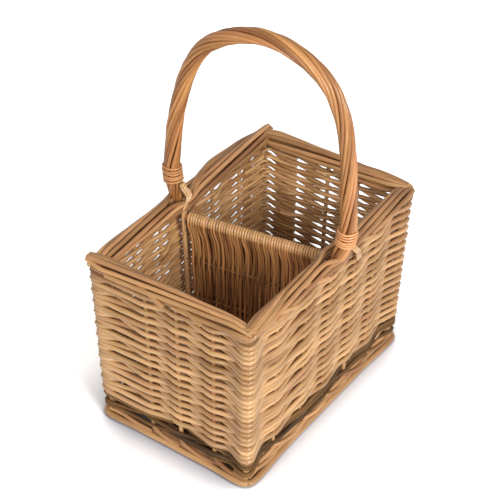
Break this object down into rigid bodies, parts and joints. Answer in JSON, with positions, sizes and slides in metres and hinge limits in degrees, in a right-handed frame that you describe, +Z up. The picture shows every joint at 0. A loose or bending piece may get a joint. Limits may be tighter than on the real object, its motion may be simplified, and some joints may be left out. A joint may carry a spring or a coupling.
{
  "type": "wine bottle basket",
  "caption": "Rectangular willow basket for bottles with open weave walls, a woven divider across the middle and a roped bow handle.",
  "frame": {"origin": "under the middle of the basket, on the surface that it stands on", "axes": "+Z up, +X along the long sides, +Y across the basket, in the plane of the bow handle"},
  "size_m": [0.2992, 0.2292, 0.4176],
  "materials": {
    "buff_willow": "smooth, lightly polished",
    "brown_willow": "bark left on, matt",
    "foot_willow": "smooth",
    "stake_willow": "smooth",
    "border_willow": "smooth, lightly polished",
    "floor_willow": "smooth",
    "divider_willow": "smooth",
    "handle_willow": "smooth, polished",
    "cane": "smooth, polished"
  },
  "bodies": {
    "root": {"front_weave": "buff_willow", "front_upsett": "brown_willow", "front_foot": "foot_willow", "front_stake_1": "stake_willow", "front_stake_2": "stake_willow", "front_stake_3": "stake_willow", "front_stake_4": "stake_willow", "front_stake_5": "stake_willow", "right_weave": "buff_willow", "right_upsett": "brown_willow", "right_foot": "foot_willow", "right_stake_1": "stake_willow", "right_stake_2": "stake_willow", "right_stake_3": "stake_willow", "back_weave": "buff_willow", "back_upsett": "brown_willow", "back_foot": "foot_willow", "back_stake_1": "stake_willow", "back_stake_2": "stake_willow", "back_stake_3": "stake_willow", "back_stake_4": "stake_willow", "back_stake_5": "stake_willow", "left_weave": "buff_willow", "left_upsett": "brown_willow", "left_foot": "foot_willow", "left_stake_1": "stake_willow", "left_stake_2": "stake_willow", "left_stake_3": "stake_willow", "corner_post_1": "stake_willow", "corner_post_2": "stake_willow", "corner_post_3": "stake_willow", "corner_post_4": "stake_willow", "left_border": "border_willow", "right_border": "border_willow", "front_border_a": "border_willow", "front_border_b": "border_willow", "back_border_a": "border_willow", "back_border_b": "border_willow", "floor_weave": "floor_willow", "floor_stick_front": "floor_willow", "floor_stick_back": "floor_willow", "divider_strands": "divider_willow", "divider_low_rail": "divider_willow", "divider_high_rail": "divider_willow", "divider_top_rail": "divider_willow", "divider_front_stake": "divider_willow", "divider_back_stake": "divider_willow", "bow_core": "handle_willow", "bow_roping_1": "handle_willow", "bow_roping_2": "handle_willow", "bow_roping_3": "handle_willow", "bow_roping_4": "handle_willow", "bow_roping_5": "handle_willow", "bow_roping_6": "handle_willow", "bow_roping_7": "handle_willow", "bow_roping_8": "handle_willow", "bow_front_binding": "cane", "bow_back_binding": "cane", "bow_front_tie": "cane", "bow_back_tie": "cane"}
  },
  "joints": []
}
